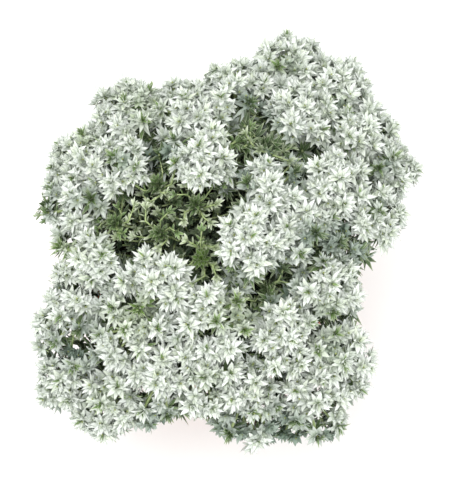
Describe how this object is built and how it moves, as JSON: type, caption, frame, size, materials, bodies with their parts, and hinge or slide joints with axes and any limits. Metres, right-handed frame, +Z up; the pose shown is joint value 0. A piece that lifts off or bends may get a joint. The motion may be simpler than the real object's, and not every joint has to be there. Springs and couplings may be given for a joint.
{
  "type": "potted paronychia kurdica",
  "caption": "Low cushion plant with silvery papery star-shaped flower heads over small green leaves, growing in soil in a plain round clay pot with drainage holes.",
  "frame": {"origin": "centre of the pot's flat underside, on the surface that it stands on", "axes": "+Z up along the pot's axis; +X to the right and +Y away from the viewer as the plant is seen in the picture"},
  "size_m": [0.1531, 0.1724, 0.1456],
  "materials": {
    "clay": "matte",
    "soil": "matte",
    "bract": "matte",
    "leaf": "matte"
  },
  "bodies": {
    "root": {"pot": "clay", "soil": "soil", "spray_01": "bract", "spray_02": "bract", "spray_03": "bract", "spray_04": "bract", "spray_05": "bract", "spray_06": "bract", "spray_07": "bract", "spray_08": "bract", "spray_09": "bract", "spray_10": "bract", "spray_11": "bract", "spray_12": "bract", "spray_13": "bract", "spray_14": "bract", "spray_15": "bract", "spray_16": "bract", "spray_17": "bract", "spray_18": "bract", "spray_19": "bract", "spray_20": "bract", "spray_21": "bract", "spray_22": "bract", "spray_23": "bract", "spray_24": "bract", "spray_25": "bract", "spray_26": "bract", "spray_27": "bract", "spray_28": "bract", "spray_29": "bract", "spray_30": "bract", "spray_31": "bract", "stem_01": "leaf", "stem_02": "leaf", "stem_03": "leaf", "stem_04": "leaf", "stem_05": "leaf", "stem_06": "leaf", "stem_07": "leaf", "stem_08": "leaf", "stem_09": "leaf", "stem_10": "leaf", "stem_11": "leaf", "stem_12": "leaf", "stem_13": "leaf", "stem_14": "leaf", "stem_15": "leaf", "stem_16": "leaf", "leafy_shoot_01": "leaf", "leafy_shoot_02": "leaf", "leafy_shoot_03": "leaf", "leafy_shoot_04": "leaf", "leafy_shoot_05": "leaf", "leafy_shoot_06": "leaf", "leafy_shoot_07": "leaf", "leafy_shoot_08": "leaf"}
  },
  "joints": []
}
